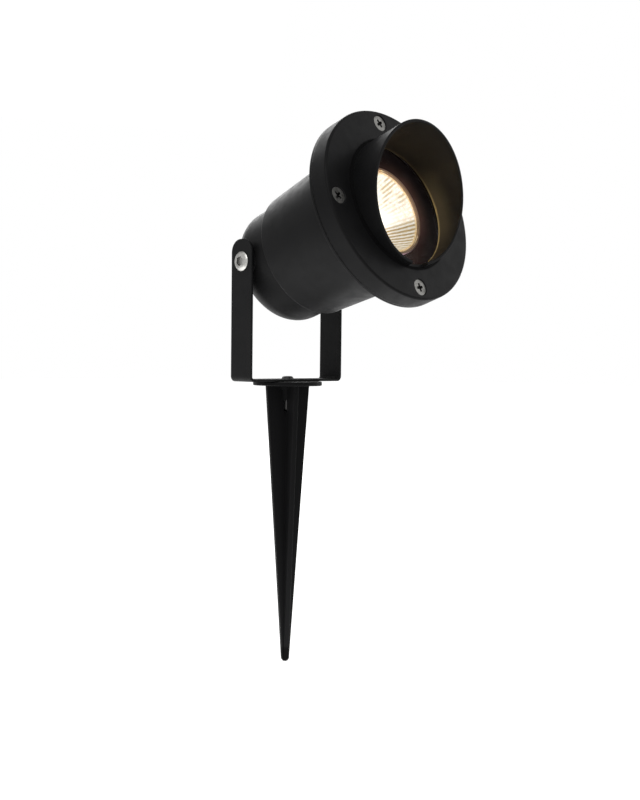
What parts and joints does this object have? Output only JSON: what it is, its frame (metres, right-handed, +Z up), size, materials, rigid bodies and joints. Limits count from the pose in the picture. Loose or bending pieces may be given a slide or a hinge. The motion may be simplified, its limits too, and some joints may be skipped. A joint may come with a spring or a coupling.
{
  "type": "garden spike spotlight",
  "caption": "Black outdoor spotlight with a slanted rain hood, tilting in a U-shaped yoke that swivels on a tapered ground spike.",
  "frame": {"origin": "centre of the underside of the spike's flange, at ground level", "axes": "+Z up along the spike's axis, the lamp shines towards -Y, X along the tilt axis"},
  "size_m": [0.108, 0.132, 0.3127],
  "materials": {
    "head_casting": "black powder coat, satin, fine grain",
    "yoke_steel": "black powder coat, satin",
    "screw_steel": "bright stainless",
    "plated_steel": "zinc plated",
    "front_glass": "clear, toughened",
    "lamp_glass": "clear, warm where lit",
    "lamp_dish": "faceted mirror coat on glass, lit",
    "seal_rubber": "matt silicone",
    "ceramic": "unglazed white ceramic",
    "brass": "plain",
    "pin_nickel": "nickel plated",
    "block_nylon": "white nylon",
    "washer_nylon": "black nylon",
    "lead_brown": "brown insulation",
    "lead_blue": "blue insulation",
    "lead_green": "green and yellow insulation",
    "gland_nylon": "black nylon",
    "spike_plastic": "black moulded plastic, slight sheen"
  },
  "bodies": {
    "stake": {"spike": "spike_plastic", "spike_bolt": "screw_steel", "spike_nut": "screw_steel"},
    "yoke": {"yoke_bracket": "yoke_steel"},
    "head": {"body_housing": "head_casting", "front_bezel": "head_casting", "bezel_screws": "screw_steel", "pivot_screws": "screw_steel", "holder_screws": "screw_steel", "bracket_screws": "screw_steel", "terminal_screws": "screw_steel", "terminal_fixing_screw": "screw_steel", "earth_screw": "screw_steel", "holder_bracket": "plated_steel", "earth_ring_terminal": "plated_steel", "front_glass": "front_glass", "lamp_cover_glass": "lamp_glass", "lamp_capsule": "lamp_glass", "lamp_reflector": "lamp_dish", "glass_gasket": "seal_rubber", "gland_o_ring": "seal_rubber", "gland_seal": "seal_rubber", "lamp_base": "ceramic", "lamp_holder": "ceramic", "holder_contacts": "brass", "terminal_sleeves": "brass", "lamp_pins": "pin_nickel", "terminal_block": "block_nylon", "pivot_washers": "washer_nylon", "live_lead": "lead_brown", "neutral_lead": "lead_blue", "earth_lead": "lead_green", "gland_body": "gland_nylon", "gland_cap": "gland_nylon", "gland_locknut": "gland_nylon"}
  },
  "joints": [
    {"name": "yoke_swivel", "type": "hinge", "parent": "stake", "child": "yoke", "pos_m": [0, 0, 0.00245], "axis": [0, 0, 1], "continuous": true},
    {"name": "head_tilt", "type": "hinge", "parent": "yoke", "child": "head", "pos_m": [0, 0, 0.07025], "axis": [-1, 0, 0], "range_deg": [-48.5, 71.5]}
  ]
}
